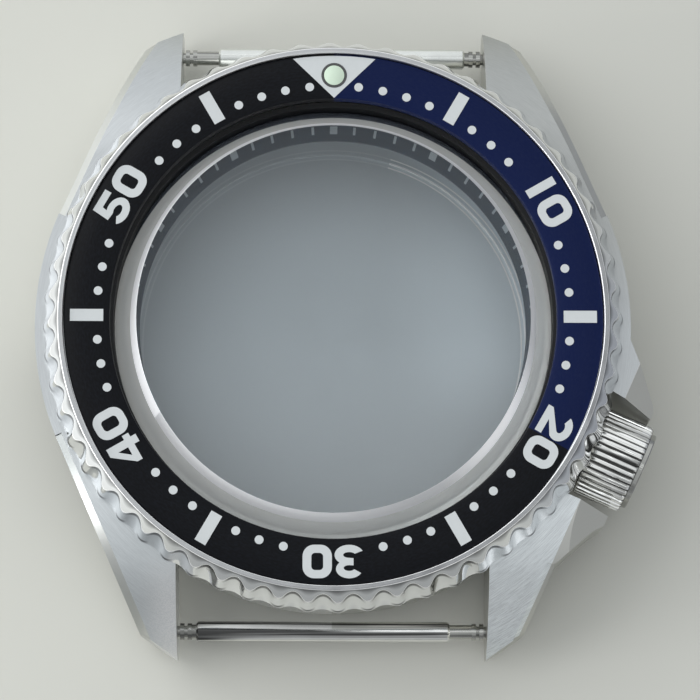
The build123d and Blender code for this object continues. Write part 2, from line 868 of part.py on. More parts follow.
def bar_tip(plane):
    """Turns a spring bar's end: pivot, two collars with a groove, and the sliding tube."""
    pivot_end = gap_half + pivot_depth
    lathe(
        plane,
        [
            (tip_tube_inner_at, 0),
            (tip_tube_inner_at, tip_tube_dia / 2),
            (tube_start, tip_tube_dia / 2),
            (tube_start, tip_collar_dia / 2),
            (groove_start, tip_collar_dia / 2),
            (groove_start, tip_groove_dia / 2),
            (groove_end, tip_groove_dia / 2),
            (groove_end, tip_collar_dia / 2),
            (shoulder_at, tip_collar_dia / 2),
            (shoulder_at, pivot_dia / 2),
            (pivot_end, pivot_dia / 2),
            (pivot_end, 0),
        ],
    )


# Spring bars. The tip nearest the barrel pushes it along; the far tip stands out of it.
barrel_near_end = tube_start - near_tube_show
barrel_far_end = far_tube_show - tube_start
for bar, bar_place, near_side in (("12", bar_y, 1), ("6", -bar_y, -1)):
    near_axis = Plane((0, bar_place, bar_z), x_dir=(0, 0, 1), z_dir=(near_side, 0, 0))
    far_axis = Plane((0, bar_place, bar_z), x_dir=(0, 0, 1), z_dir=(-near_side, 0, 0))
    near_name, far_name = ("right", "left") if near_side > 0 else ("left", "right")

    with BuildPart() as bar_barrel:
        rod(near_axis, barrel_dia, barrel_far_end, barrel_near_end, barrel_bore)
        ends = bar_barrel.edges().filter_by(GeomType.CIRCLE).sort_by(SortBy.RADIUS)[-2:]
        chamfer(ends, length=barrel_edge)
    finish(bar_barrel, f"spring_bar_{bar}_barrel")

    with BuildPart() as near_tip:
        bar_tip(near_axis)
    finish(near_tip, f"spring_bar_{bar}_{near_name}_tip")

    with BuildPart() as far_tip:
        bar_tip(far_axis)
    finish(far_tip, f"spring_bar_{bar}_{far_name}_tip")

    with BuildPart() as bar_spring:
        coil(
            near_axis,
            bar_spring_wire,
            bar_spring_dia,
            seat_gap - tip_tube_inner_at,
            tip_tube_inner_at - seat_gap,
            bar_spring_turns,
        )
    finish(bar_spring, f"spring_bar_{bar}_spring")
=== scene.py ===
"""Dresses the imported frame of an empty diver's watch case and sets it in a plain studio."""

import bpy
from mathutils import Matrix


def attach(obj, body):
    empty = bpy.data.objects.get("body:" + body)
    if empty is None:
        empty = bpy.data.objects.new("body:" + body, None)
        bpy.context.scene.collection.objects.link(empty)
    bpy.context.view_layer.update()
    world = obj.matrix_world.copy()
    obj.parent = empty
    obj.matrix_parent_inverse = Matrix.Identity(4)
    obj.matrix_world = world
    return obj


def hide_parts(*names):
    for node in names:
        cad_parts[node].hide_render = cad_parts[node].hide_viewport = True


bl_info = {
    "name": "Diver's watch case",
    "version": (1, 0, 0),
    "blender": (4, 5, 0),
    "location": "3D View > Sidebar > Watch case",
    "description": "Makes the bezel, insert, crystal, crown and finishes round a packed watch case",
    "category": "Object",
}

from math import cos, hypot, pi, radians, sin, tan

import bmesh
import bpy
from bpy.props import FloatProperty, FloatVectorProperty, IntProperty, PointerProperty
from mathutils import Matrix, Vector

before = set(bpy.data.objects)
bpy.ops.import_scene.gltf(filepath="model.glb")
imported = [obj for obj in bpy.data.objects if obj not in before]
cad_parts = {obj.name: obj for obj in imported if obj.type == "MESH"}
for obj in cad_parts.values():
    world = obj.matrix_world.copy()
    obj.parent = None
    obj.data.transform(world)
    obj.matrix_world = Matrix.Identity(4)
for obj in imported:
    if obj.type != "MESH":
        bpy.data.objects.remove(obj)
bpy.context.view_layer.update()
MM = 0.001
WELD = MM / 20000

# Direction of the crown's axis, clockwise from twelve o'clock, and its height in millimetres
CROWN_AZIMUTH = 114.1
CROWN_Z = 5.3

# Height of the floor in the bezel that the insert lies on, and of the bezel's top
INSERT_FLOOR = 12.05
BEZEL_TOP = 13.2

# The camera, fitted to the photograph: its place in millimetres, its axes and its roll
CAMERA_AT = (-2.236, -44.915, 245.301)
CAMERA_AXES = (
    (0.999865, 0.005394, 0.015547),
    (-0.008101, 0.983691, 0.179685),
    (-0.014325, -0.179786, 0.983601),
)
CAMERA_ROLL = -0.0044
FOCAL_PIXELS = 3366.2
IMAGE_PIXELS = 700
SENSOR = 36

# Sockets of a Mix node that mixes colours
MIX_FIRST, MIX_SECOND, MIX_RESULT = 6, 7, 2


def linear(level):
    """Turns one screen value from 0 to 255 into linear light."""
    v = level / 255
    return v / 12.92 if v <= 0.04045 else ((v + 0.055) / 1.055) ** 2.4


def tone(red, green, blue):
    """Turns a screen colour into a linear one."""
    return linear(red), linear(green), linear(blue)


def scaled(base, factor):
    """Makes a colour darker or lighter, up to white."""
    return [min(1, c * factor) for c in base]


def length(name, description, millimetres):
    """Makes a length property whose default is given in millimetres."""
    return FloatProperty(
        name=name, description=description, default=millimetres * MM, unit="LENGTH", precision=5
    )


def colour(name, description, default):
    """Makes a colour property."""
    return FloatVectorProperty(
        name=name, description=description, default=default, subtype="COLOR", size=3, min=0, max=1
    )


def slope(name, description, degrees):
    """Makes an angle property whose default is given in degrees."""
    return FloatProperty(
        name=name, description=description, default=radians(degrees), subtype="ANGLE"
    )


def power(name, description, watts):
    """Makes a lamp's power property."""
    return FloatProperty(name=name, description=description, default=watts, unit="POWER")


def share(name, description, default):
    """Makes a property from 0 to 1."""
    return FloatProperty(
        name=name, description=description, default=default, min=0, max=1, subtype="FACTOR"
    )


# Shader expressions


class Field:
    """A shader socket that takes part in Python sums, each of which adds a Math node."""

    def __init__(self, finish, socket):
        self.finish = finish
        self.socket = socket

    def _sum(self, operation, *values):
        return self.finish.node(
            "ShaderNodeMath", {"operation": operation}, dict(enumerate(values))
        )

    def __add__(self, other):
        return self._sum("ADD", self, other)

    def __radd__(self, other):
        return self._sum("ADD", other, self)

    def __sub__(self, other):
        return self._sum("SUBTRACT", self, other)

    def __rsub__(self, other):
        return self._sum("SUBTRACT", other, self)

    def __mul__(self, other):
        return self._sum("MULTIPLY", self, other)

    def __rmul__(self, other):
        return self._sum("MULTIPLY", other, self)

    def __pow__(self, other):
        return self._sum("POWER", self, other)

    def __abs__(self):
        return self._sum("ABSOLUTE", self)

    def __gt__(self, other):
        return self._sum("GREATER_THAN", self, other)

    def __lt__(self, other):
        return self._sum("LESS_THAN", self, other)

    def ramp(self, low, high):
        """Goes smoothly from 0 at low to 1 at high."""
        return self.finish.node(
            "ShaderNodeMapRange",
            {"interpolation_type": "SMOOTHSTEP"},
            {"Value": self, "From Min": low, "From Max": high},
        )


class Nodes:
    """A node tree in the making."""

    def __init__(self, tree):
        self.tree = tree

    def _wire(self, socket, value):
        if isinstance(value, Field):
            self.tree.links.new(value.socket, socket)
        elif socket.type == "RGBA" and len(value) == 3:
            socket.default_value = (*value, 1)
        else:
            socket.default_value = value

    def node(self, kind, settings=None, inputs=None, output=0):
        """Adds a node: its settings first, then its sockets, and returns one output."""
        node = self.tree.nodes.new(kind)
        for name, value in (settings or {}).items():
            setattr(node, name, value)
        for name, value in (inputs or {}).items():
            self._wire(node.inputs[name], value)
        return Field(self, node.outputs[output])

    def parts(self, vector):
        """Splits a vector into its three values."""
        split = self.node("ShaderNodeSeparateXYZ", None, {0: vector}).socket.node
        return [Field(self, split.outputs[i]) for i in range(3)]

    def vector(self, x, y, z):
        """Joins three values."""
        return self.node("ShaderNodeCombineXYZ", None, {0: x, 1: y, 2: z})

    def noise(self, vector, scale=1.0, detail=2.0, roughness=0.5):
        """Adds cloud-like noise round one half."""
        return self.node(
            "ShaderNodeTexNoise",
            None,
            {"Vector": vector, "Scale": scale, "Detail": detail, "Roughness": roughness},
        )

    def tinted(self, first, second):
        """Multiplies two colours."""
        return self.blend(1, first, second, "MULTIPLY")

    def blend(self, factor, first, second, way="MIX"):
        """Mixes two colours."""
        settings = {"data_type": "RGBA", "blend_type": way}
        mix = self.node("ShaderNodeMix", settings, {0: factor}).socket.node
        self._wire(mix.inputs[MIX_FIRST], first)
        self._wire(mix.inputs[MIX_SECOND], second)
        return Field(self, mix.outputs[MIX_RESULT])


class Finish(Nodes):
    """A material in the making: a Principled shader and the nodes that feed it."""

    def __init__(self, name, base, roughness, metallic=0.0, **settings):
        self.material = bpy.data.materials.new(name)
        self.material.use_nodes = True
        super().__init__(self.material.node_tree)
        self.shader = self.tree.nodes["Principled BSDF"]
        self.feed(Base_Color=base, Roughness=roughness, Metallic=metallic, **settings)

    def feed(self, **sockets):
        """Sets or links sockets of the shader; an underscore stands for a space."""
        for name, value in sockets.items():
            self._wire(self.shader.inputs[name.replace("_", " ")], value)

    def place(self):
        """Gives the x, y and z of a point of the object, in millimetres."""
        point = self.node("ShaderNodeTexCoord", output="Object")
        return [p * (1 / MM) for p in self.parts(point)]

    def clouds(self, scale, detail=3.0):
        """Adds noise that is as large in every direction."""
        return self.noise(self.vector(*self.place()), scale, detail)

    def attribute(self, name):
        """Reads a number that is kept at the mesh's points."""
        return self.node("ShaderNodeAttribute", {"attribute_name": name}, None, "Fac")

    def facing(self):
        """Gives the x, y and z of the surface's direction."""
        return self.parts(self.node("ShaderNodeNewGeometry", output="Normal"))

    def bump(self, height, depth):
        """Bends the surface by a height field of a given depth in millimetres."""
        inputs = {"Strength": 1.0, "Distance": depth * MM, "Height": height}
        self.feed(Normal=self.node("ShaderNodeBump", None, inputs))

    def polar(self):
        """Gives the radius and the clockwise angle from twelve o'clock, with the height."""
        x, y, z = self.place()
        radius = (x * x + y * y) ** 0.5
        angle = self.node("ShaderNodeMath", {"operation": "ARCTAN2"}, {0: x, 1: y})
        return radius, angle, z

    def by_crown(self):
        """Gives the distances along the crown's axis and level with it to the side."""
        x, y, _ = self.place()
        azimuth = radians(CROWN_AZIMUTH)
        return x * sin(azimuth) + y * cos(azimuth), x * cos(azimuth) - y * sin(azimuth)


def polished_steel(name, base, roughness):
    """Bright steel with faint wiping marks and a few soft smears."""
    finish = Finish(name, base, roughness, 1.0)
    x, y, z = finish.place()
    smears = finish.clouds(0.5)
    wiping = finish.noise(finish.vector(x * 1.2, y * 9, z * 9), 1.6, 2.0)
    finish.feed(
        Base_Color=finish.blend(smears.ramp(0.35, 0.75), base, scaled(base, 0.94)),
        Roughness=roughness + smears * 0.05 + wiping * 0.03,
    )
    finish.bump(smears * 0.6 + wiping * 0.12, 0.004)
    return finish.material


def grip_steel():
    """Bright steel of the bezel, with painted highlights along its edges and painted shade in its
    corners and on its top.
    """
    base = (0.90, 0.91, 0.92)
    grime = (0.05, 0.05, 0.055)
    finish = Finish("polished_bezel_steel", base, 0.05, 1.0)
    painted_highlight_mask = finish.attribute("painted_highlight")
    painted_shade_mask = finish.attribute("grime")
    smears = finish.clouds(0.7)
    clean = finish.blend(smears, scaled(base, 0.93), base)
    # Painted highlights: white along the edges
    retoned = finish.blend(painted_highlight_mask, clean, (1, 1, 1))
    # Painted shade: near black in the corners and on the top
    finish.feed(
        Base_Color=finish.blend(painted_shade_mask * (0.6 + smears * 0.6), retoned, grime),
        Roughness=0.03 + smears * 0.05 + painted_highlight_mask * 0.4 + painted_shade_mask * 0.2,
    )
    finish.bump(smears * 0.5, 0.003)
    return finish.material


def fluted_steel(groove, ridge, rim):
    """Steel of the crown, bright from the ridges' radius on, with painted shade down in its grooves
    and painted dark reflections in stripes along some ridges.

    The end beyond the rim, a distance along the crown's axis, is duller."""
    bright = (1.0, 1.0, 0.98)
    painted_dark_reflection = (0.42, 0.42, 0.41)
    painted_groove_shade = (0.07, 0.07, 0.068)
    end = (0.42, 0.42, 0.40)
    finish = Finish("polished_crown_steel", bright, 0.07, 1.0)
    _, _, z = finish.place()
    along, across = finish.by_crown()
    height = z - CROWN_Z
    radius = (across * across + height * height) ** 0.5
    wear = finish.noise(finish.vector(along * 0.25, across * 2.4, height * 2.4), 1.0, 3.0, 0.7)
    painted_reflection_bands = finish.noise(finish.vector(across * 0.9, height * 0.9, along * 0.05), 1.0, 1.0)
    # Painted dark reflections in stripes along some ridges
    ridged = finish.blend(painted_reflection_bands.ramp(0.54, 0.62), bright, painted_dark_reflection)
    # Painted shade down in the grooves
    fluted = finish.blend(radius.ramp(groove, ridge), painted_groove_shade, ridged)
    finish.feed(
        Base_Color=finish.blend(along > rim + 0.001, fluted, end),
        Roughness=0.04 + wear * 0.1,
    )
    finish.bump(wear, 0.03)
    return finish.material


def brushed_case_steel():
    """Case steel: tops brushed round the bezel, flanks and bevels polished, with painted light and
    shade that differ from lug to lug.
    """
    brushed = (0.53, 0.55, 0.56)
    guard_reach = 21.08
    finish = Finish("brushed_case_steel", brushed, 0.3, 1.0)
    radius, angle, z = finish.polar()
    x, y, _ = finish.place()
    left, down = -1 * x, -1 * y
    along, _ = finish.by_crown()
    nx, _, nz = finish.facing()
    clouds = finish.clouds(0.16, 2.0)

    # Polished flanks and bevels with painted shade: darker where a lamp shines straight on them,
    # and lighter on the left than on the right
    lit = left.ramp(10, 14) * down.ramp(-1, 2) * (1 - down.ramp(9, 15) * 0.6)
    flank = finish.blend(lit, (0.68, 0.69, 0.67), (0.16, 0.17, 0.17))
    polished = finish.blend(x.ramp(-8, 6), flank, (0.58, 0.58, 0.55))

    # Brushed tops, which end at the crown guards' outer bevel
    corner = (x > 8) * (y < -12) * (nz > 0.3)
    top = ((abs(nx) < 0.2) * (nz > 0.4) + corner > 0.5) * (along < guard_reach)
    long_lines = finish.noise(finish.vector(angle * 9, radius * 26, z * 2), 1.0, 3.0, 0.6)
    short_lines = finish.noise(finish.vector(angle * 26, radius * 60, z * 6), 1.0, 2.0, 0.6)
    lines = long_lines * 0.6 + short_lines * 0.4
    # Painted sheen, light and shade: brushed lines stronger and brighter on the lower right lug,
    # lower lugs lighter, upper right lug darker
    grain_and_sheen_strength = 0.35 + x.ramp(2, 10) * down.ramp(10, 14) * 0.65
    grain = lines.ramp(0.3, 0.7) * grain_and_sheen_strength
    light = finish.blend(down.ramp(4, 14), (1, 1, 1), (1.25, 1.26, 1.26))
    painted_light_and_shade = finish.blend(x.ramp(4, 12) * y.ramp(-2, 8), light, (0.80, 0.79, 0.76))
    brushing = finish.blend(grain, scaled(brushed, 0.94), scaled(brushed, 1.5))

    # A lighter, speckled patch along the inner edge of the lower left lug
    retoned = x.ramp(-14.2, -11.3) * (x < 0) * down.ramp(15.5, 20)
    speckled_patch = retoned * (0.65 + finish.clouds(11.0).ramp(0.42, 0.58) * 0.35)
    steel = finish.blend(top, polished, finish.tinted(brushing, painted_light_and_shade))
    finish.feed(
        Roughness=0.26 + clouds * 0.06 + top * (0.02 + lines * 0.2),
        Base_Color=finish.blend(speckled_patch, steel, (0.95, 0.95, 0.95)),
    )
    finish.bump(top * lines * grain_and_sheen_strength + speckled_patch * 0.8 + (1 - top) * clouds * 0.3, 0.006)
    return finish.material


def insert_coating(black, blue, blue_end):
    """Anodised aluminium: blue over the first minutes and black over the rest."""
    finish = Finish("insert_coating", black, 0.38, 0.0, Specular_IOR_Level=0.13)
    radius, angle, z = finish.polar()
    first_part = (angle > 0) * (angle < blue_end)
    grain = finish.noise(finish.vector(angle * 60, radius * 8, z), 1.0, 2.0)
    body = finish.blend(first_part, black, blue)
    finish.feed(
        Base_Color=finish.blend(grain.ramp(0.3, 0.8) * 0.05, body, tone(70, 80, 96)),
        Roughness=0.30 + grain * 0.08,
    )
    finish.bump(grain, 0.001)
    return finish.material


def paint(name, base, roughness):
    """Smooth paint or plastic with a slight change of tone."""
    finish = Finish(name, base, roughness)
    clouds = finish.clouds(2.2)
    finish.feed(
        Base_Color=finish.blend(clouds, scaled(base, 0.94), base),
        Roughness=roughness - 0.05 + clouds * 0.1,
    )
    finish.bump(clouds, 0.004)
    return finish.material


def luminous(base):
    """Luminous compound: chalky and finely grained."""
    finish = Finish("luminous_compound", base, 0.6)
    grains = finish.clouds(12.0)
    finish.feed(Base_Color=finish.blend(grains, scaled(base, 0.9), base))
    finish.bump(grains, 0.01)
    return finish.material


def crystal_glass(name, base, roughness, clearness, painted_glow_strength=0.0, spread=1.0):
    """Clear glass that bends light, or one of its edges that also scatters some of it.

    An edge glows with painted light, emission that is brightest in two painted highlights, at four
    and at nine o'clock. The spread is how much of that glow lies outside these two places. Near
    twelve o'clock the outer part of an edge is a painted dark reflection, a crescent."""
    finish = Finish(name, base, roughness, 0.0, IOR=1.52,
                    Transmission_Weight=clearness, Emission_Strength=painted_glow_strength)
    x, y, z = finish.place()
    wipes = finish.noise(finish.vector(x, y * 1.4, z), 0.22, 3.0)
    finish.feed(Roughness=roughness + wipes.ramp(0.45, 0.8) * 0.02)
    finish.bump(wipes, 0.002)
    if painted_glow_strength:
        # Painted light: a glow with painted highlights at four and nine o'clock, and a painted dark
        # reflection near twelve o'clock
        radius, angle, _ = finish.polar()
        four = (-1 * abs(angle - 2.15)).ramp(-0.5, -0.05)
        nine = (angle > -2.08) * (-1 * angle).ramp(1.3, 1.9)
        glow = spread + (four + nine) * (1 - spread)
        painted_dark_crescent = (radius - 14.95 - angle * angle * 0.35).ramp(0, 0.08)
        finish.feed(
            Base_Color=finish.blend(painted_dark_crescent, base, (0.08, 0.09, 0.12)),
            Emission_Color=finish.blend(glow * (1 - painted_dark_crescent), (0, 0, 0), base),
        )
    return finish.material


def turned_steel(name, base, roughness):
    """Steel turned on a lathe: fine rings round the case's axis, painted glints on a few of them,
    and painted shade and light, darker towards six o'clock and lighter to the right.
    """
    finish = Finish(name, base, roughness, 1.0)
    x, y, _ = finish.place()
    radius, angle, z = finish.polar()
    rings = finish.noise(finish.vector(angle * 1.5, radius * 30, z * 30), 1.0, 3.0)
    clouds = finish.noise(finish.vector(angle, radius * 0.2, z), 1.0, 2.0)
    # Painted glints: a few rings white, mostly between half past twelve and four o'clock
    painted_glint_rings = 0
    for at in (13.9, 14.2, 14.5):
        painted_glint_rings = painted_glint_rings + (1 - abs(radius - at) * 14).ramp(0, 0.6)
    painted_glint = painted_glint_rings * (z > 0.4) * (0.2 + (angle > 0.3) * (angle < 2.2) * 0.8)
    # Painted shade and light: darker towards six o'clock and lighter to the right
    shade = 1 - (-1 * y).ramp(0, 13) * 0.22 + x.ramp(3, 12) * y.ramp(-8, 0) * 0.3
    retoned = finish.blend(rings * 0.5 + clouds * 0.5, scaled(base, 0.86), base)
    shaded = finish.tinted(retoned, finish.vector(shade, shade, shade))
    finish.feed(
        Roughness=roughness + rings * 0.12,
        Base_Color=finish.blend(painted_glint, shaded, (1, 1, 1)),
    )
    finish.bump(rings, 0.003)
    return finish.material


def drawn_steel(name, base, roughness, painted_reflection_strength=0.0):
    """Drawn steel of a spring bar: fine lines along the bar, painted dark reflections in stripes
    and dull patches.
    """
    finish = Finish(name, base, roughness, 1.0)
    x, y, z = finish.place()
    lines = finish.noise(finish.vector(x * 0.8, y * 16, z * 16), 1.0, 3.0)
    painted_reflection_bands = finish.noise(finish.vector(x * 0.04, y * 2.3, z * 2.3), 1.0, 1.0).ramp(0.42, 0.56)
    patches = finish.clouds(0.9)
    drawn = finish.blend(patches, scaled(base, 0.8), base)
    # Painted dark reflections: near black stripes along the bar, in the measure given
    finish.feed(
        Roughness=roughness + lines * 0.06 + patches * 0.04,
        Base_Color=finish.blend(painted_reflection_bands * painted_reflection_strength, drawn, (0.03, 0.03, 0.03)),
    )
    finish.bump(lines, 0.003)
    return finish.material


# Pieces


def settle(name, bm, body, materials, nodes=(), crease=30):
    """Turns a bmesh into a finished piece that rides on a body."""
    bmesh.ops.remove_doubles(bm, verts=bm.verts, dist=WELD)
    bmesh.ops.recalc_face_normals(bm, faces=bm.faces)
    mesh = bpy.data.meshes.new(name)
    bm.to_mesh(mesh)
    bm.free()
    if "custom_normal" in mesh.attributes:
        mesh.attributes.remove(mesh.attributes["custom_normal"])
    mesh.shade_smooth()
    mesh.set_sharp_from_angle(angle=radians(crease))
    for material in materials:
        mesh.materials.append(material)
    piece = bpy.data.objects.new(name, mesh)
    bpy.context.scene.collection.objects.link(piece)
    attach(piece, body)
    if nodes:
        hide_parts(*nodes)
    return piece


def spun(profile, steps, close=True):
    """Spins a profile of (radius, height) in millimetres round Z into a new bmesh."""
    bm = bmesh.new()
    verts = [bm.verts.new((radius * MM, 0, height * MM)) for radius, height in profile]
    pairs = list(zip(verts, verts[1:]))
    if close:
        pairs.append((verts[-1], verts[0]))
    edges = [bm.edges.new(pair) for pair in pairs]
    bmesh.ops.spin(
        bm,
        geom=verts + edges,
        cent=(0, 0, 0),
        axis=(0, 0, 1),
        angle=2 * pi,
        steps=steps,
        use_merge=True,
    )
    bmesh.ops.remove_doubles(bm, verts=bm.verts, dist=WELD)
    return bm


def softened(node, name, body, materials, crease=28, edge=0):
    """Copies a CAD node, merges its triangles, smooths its curves and rounds its edges."""
    bm = bmesh.new()
    bm.from_mesh(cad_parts[node].data)
    if edge:
        bmesh.ops.remove_doubles(bm, verts=bm.verts, dist=WELD)
        bmesh.ops.dissolve_limit(bm, angle_limit=radians(0.6), verts=bm.verts, edges=bm.edges)
    piece = settle(name, bm, body, materials, (node,), crease)
    if edge:
        round_edges(piece, edge * MM, crease)
    return piece


def round_edges(piece, width, crease):
    """Rounds the edges that turn by more than the crease angle, in degrees."""
    rounding = piece.modifiers.new("edge_rounding", "BEVEL")
    rounding.limit_method = "ANGLE"
    rounding.angle_limit = radians(crease)
    rounding.width = width
    rounding.segments = 2


def dress(nodes, material):
    """Gives CAD nodes that keep their shape a material."""
    for node in nodes:
        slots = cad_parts[node].material_slots
        if not slots:
            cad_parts[node].data.materials.append(material)
        for entry in slots:
            entry.material = material


def add_plate(bm, loops, bottom, thickness, turn, shift):
    """Adds a thin plate with closed outlines in millimetres; inner outlines are holes."""
    curve = bpy.data.curves.new("plate", "CURVE")
    curve.dimensions = "2D"
    curve.fill_mode = "BOTH"
    curve.extrude = thickness * MM / 2
    for loop in loops:
        spline = curve.splines.new("POLY")
        spline.points.add(len(loop) - 1)
        for point, (x, y) in zip(spline.points, loop):
            point.co = ((x + shift[0]) * MM, (y + shift[1]) * MM, 0, 1)
        spline.use_cyclic_u = True
    holder = bpy.data.objects.new("plate", curve)
    mesh = bpy.data.meshes.new_from_object(holder)
    middle = Matrix.Translation((0, 0, (bottom + thickness / 2) * MM))
    mesh.transform(middle @ Matrix.Rotation(-radians(turn), 4, "Z"))
    bm.from_mesh(mesh)
    bpy.data.objects.remove(holder)
    bpy.data.curves.remove(curve)
    bpy.data.meshes.remove(mesh)


def arc(cx, cy, rx, ry, start, end, count=18):
    """Lists points along part of an ellipse, with angles in degrees."""
    points = []
    for i in range(count + 1):
        a = radians(start + (end - start) * i / count)
        points.append((cx + rx * cos(a), cy + ry * sin(a)))
    return points


def rounded(half_width, half_height, radius):
    """Lists the outline of a rectangle with round corners."""
    points = []
    for sx, sy, start in ((1, 1, 0), (-1, 1, 90), (-1, -1, 180), (1, -1, 270)):
        x = sx * (half_width - radius)
        y = sy * (half_height - radius)
        points += arc(x, y, radius, radius, start, start + 90, 8)
    return points


DIGITS = {
    "0": [rounded(1.02, 1.17, 0.80), rounded(0.41, 0.60, 0.26)],
    "1": [[(-0.32, -1.10), (0.32, -1.10), (0.32, 1.10), (-0.32, 1.10)]],
    "2": [
        arc(0.02, 0.36, 1.0, 0.81, 158, -32)
        + [(-0.12, -0.66), (1.02, -0.66), (1.02, -1.17), (-1.02, -1.17), (-1.02, -0.78)]
        + arc(0.02, 0.36, 0.42, 0.27, -40, 158)
    ],
    "3": [
        arc(0.0, 0.52, 0.92, 0.65, 155, -42)
        + arc(0.0, -0.46, 1.02, 0.71, 45, -155)
        + arc(0.0, -0.46, 0.42, 0.20, -155, 90)
        + [(-0.30, -0.24), (-0.30, 0.27)]
        + arc(0.0, 0.45, 0.38, 0.20, -90, 155)
    ],
    "4": [
        [
            (0.10, 1.17), (0.72, 1.17), (0.72, -0.26), (1.04, -0.26), (1.04, -0.76), (0.72, -0.76),
            (0.72, -1.17), (0.14, -1.17), (0.14, -0.76), (-1.06, -0.76), (-1.06, -0.36),
        ],
        [(0.14, 0.52), (0.14, -0.26), (-0.48, -0.26)],
    ],
    "5": [
        [(0.86, 1.17), (-0.86, 1.17), (-0.96, -0.12), (-0.44, -0.18)]
        + arc(-0.02, -0.37, 0.46, 0.27, 130, -152)
        + arc(-0.02, -0.40, 1.02, 0.77, -152, 112)
        + [(-0.34, 0.66), (0.86, 0.66)]
    ],
}


# Properties


class WatchBezelSizes(bpy.types.PropertyGroup):
    """Sizes of the turning bezel."""

    skirt: length("Skirt", "Diameter across the scallops' tips near the bottom", 41.3)
    depth: length("Scallop depth", "From tip to valley", 0.25)
    valley: share("Valley share", "Share of the pitch that the valley takes", 0.6)
    hollow: length("Hollow", "Depth of a valley's upright curve", 0.10)
    scallops: IntProperty(name="Scallops", description="Scallops round the bezel", default=60)
    rim: length("Rim", "Radius of the rim's outer edge", 19.42)
    rim_height: length("Rim height", "Height of the rim's outer edge", 13.13)
    turn: slope("Turn", "Turn of the scallops against the minutes", 1.0)
    draft: slope("Draft", "Slope of the grip from upright", 15.9)
    shoulder: slope("Shoulder", "Slope above the scallops from upright", 28.0)


class WatchInsertSizes(bpy.types.PropertyGroup):
    """Sizes and colours of the insert and its marks."""

    outer: length("Outer diameter", "Across the insert", 38.0)
    inner: length("Inner diameter", "Across the insert's opening", 31.5)
    top: length("Top", "Height of the insert's face", 12.9)
    dots_at: length("Dots at", "Radius of the ring of dots", 16.67)
    dot: length("Dot", "Diameter of a dot", 0.62)
    digits_at: length("Numerals at", "Radius of the middle of the numerals", 17.36)
    bar_length: length("Bar length", "Length of a five-minute bar", 2.34)
    bar_width: length("Bar width", "Width of a five-minute bar", 0.86)
    print_height: length("Print height", "Thickness of the marks", 0.02)
    black: colour("Black", "Colour of the black part", tone(6, 7, 11))
    blue: colour("Blue", "Colour of the blue part", tone(3, 19, 62))
    marks: colour("Marks", "Colour of the marks", tone(206, 210, 211))
    lume: colour("Luminous", "Colour of the pip", tone(214, 232, 212))


class WatchCrystalSizes(bpy.types.PropertyGroup):
    """Sizes of the crystal."""

    outer: length("Outer diameter", "Across the crystal's foot", 31.14)
    band: length("Band diameter", "Where the bevel meets the polished band", 28.78)
    flat: length("Flat diameter", "Across the flat top", 27.8)
    foot: length("Foot", "Height of the underside", 9.15)
    wall: length("Wall", "Height of the upright wall's top", 9.5)
    bevel: length("Bevel", "Height of the ground bevel's top", 11.15)
    face: length("Face", "Height of the flat top", 12.5)


class WatchCrownSizes(bpy.types.PropertyGroup):
    """Sizes of the crown."""

    outer: length("Diameter", "Across the crown", 6.6)
    start: length("Start", "Distance of its inner face from the case's axis", 20.35)
    end: length("End", "Distance of its outer rim from the case's axis", 24.0)
    flute_depth: length("Flute depth", "From ridge to groove", 0.2)
    flutes: IntProperty(name="Flutes", description="Grooves round the crown", default=40)


class WatchStudio(bpy.types.PropertyGroup):
    """Floor, light and camera."""

    floor: colour("Floor", "Colour of the floor", tone(208, 208, 200))
    floor_far: colour("Floor, dark side", "Colour of the floor at the right", tone(208, 208, 201))
    ambient: FloatProperty(name="Ambient", description="Strength of the world", default=1.0)
    key: power("Key lamp", "Power of the lamp behind", 0.65)
    front: power("Front lamp", "Power of the front lamp", 0.10)
    side: power("Side lamp", "Power of the left lamp", 0.4)


# Operators


class WATCH_OT_case(bpy.types.Operator):
    """Finish the middle case, its tube, its gaskets and the hidden pieces"""

    bl_idname = "watch.case"
    bl_label = "Middle case"

    def execute(self, context):
        softened("case_middle", "case_body", "case", [brushed_case_steel()],
                 edge=0.05)
        rubber = paint("black_gasket_rubber", tone(22, 23, 25), 0.55)
        dress(("crystal_gasket", "bezel_gasket", "case_back_gasket", "crown_gasket"), rubber)
        dress(("click_spring", "crown_spring", "spring_bar_12_spring", "spring_bar_6_spring"),
              drawn_steel("spring_wire", (0.45, 0.45, 0.46), 0.3))
        dress(("click_pin", "crown_post", "crown_core", "crown_tube"),
              polished_steel("turned_pin_steel", (0.62, 0.62, 0.63), 0.18))
        return {"FINISHED"}


